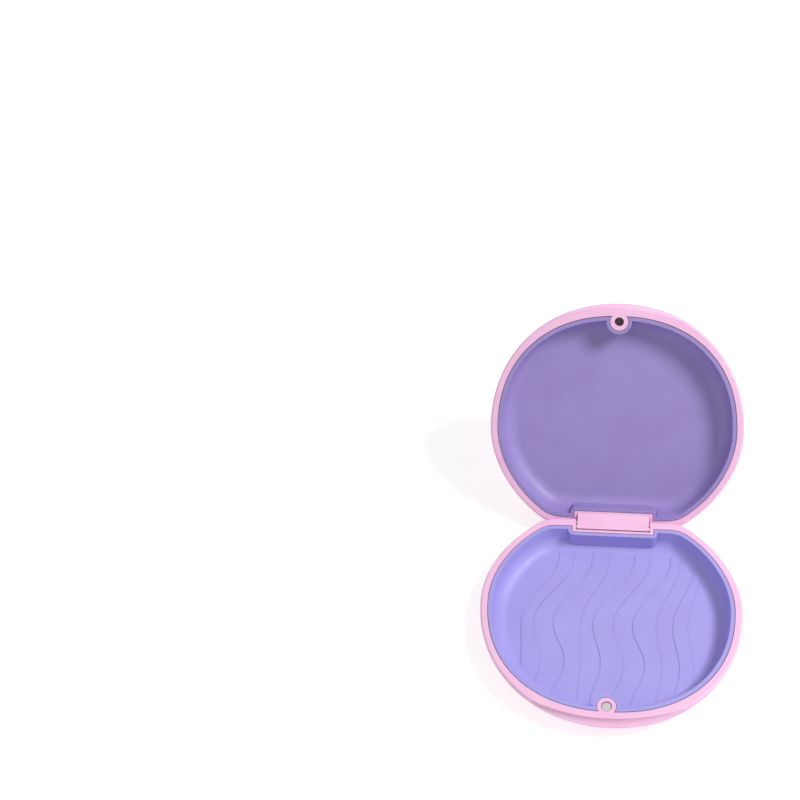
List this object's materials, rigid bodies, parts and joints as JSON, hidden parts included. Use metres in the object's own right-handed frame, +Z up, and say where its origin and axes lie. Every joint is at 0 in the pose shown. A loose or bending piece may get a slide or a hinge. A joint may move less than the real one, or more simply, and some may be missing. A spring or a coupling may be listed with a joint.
{
  "type": "orthodontic retainer case",
  "caption": "Round clamshell case in two shallow halves with pressed-in trays, a pinned hinge at the back and a magnetic catch at the front.",
  "frame": {"origin": "on the flat face the base stands on, below the middle of the mouth", "axes": "+X to the right, +Y from the catch to the hinge, +Z up out of the base"},
  "size_m": [0.0912, 0.1379, 0.0682],
  "materials": {
    "shell_pink": "satin moulded",
    "tray_lilac": "satin moulded",
    "magnet_nickel": "nickel plated",
    "pin_steel": "drawn wire"
  },
  "bodies": {
    "base": {"base_shell": "shell_pink", "base_liner": "tray_lilac", "base_magnet": "magnet_nickel"},
    "lid": {"lid_shell": "shell_pink", "lid_liner": "tray_lilac", "lid_magnet": "magnet_nickel", "hinge_pin": "pin_steel"}
  },
  "joints": [
    {"name": "lid_hinge", "type": "hinge", "parent": "base", "child": "lid", "pos_m": [0, 0.0346, 0.0088], "axis": [1, 0, 0], "range_deg": [0, 130]}
  ]
}
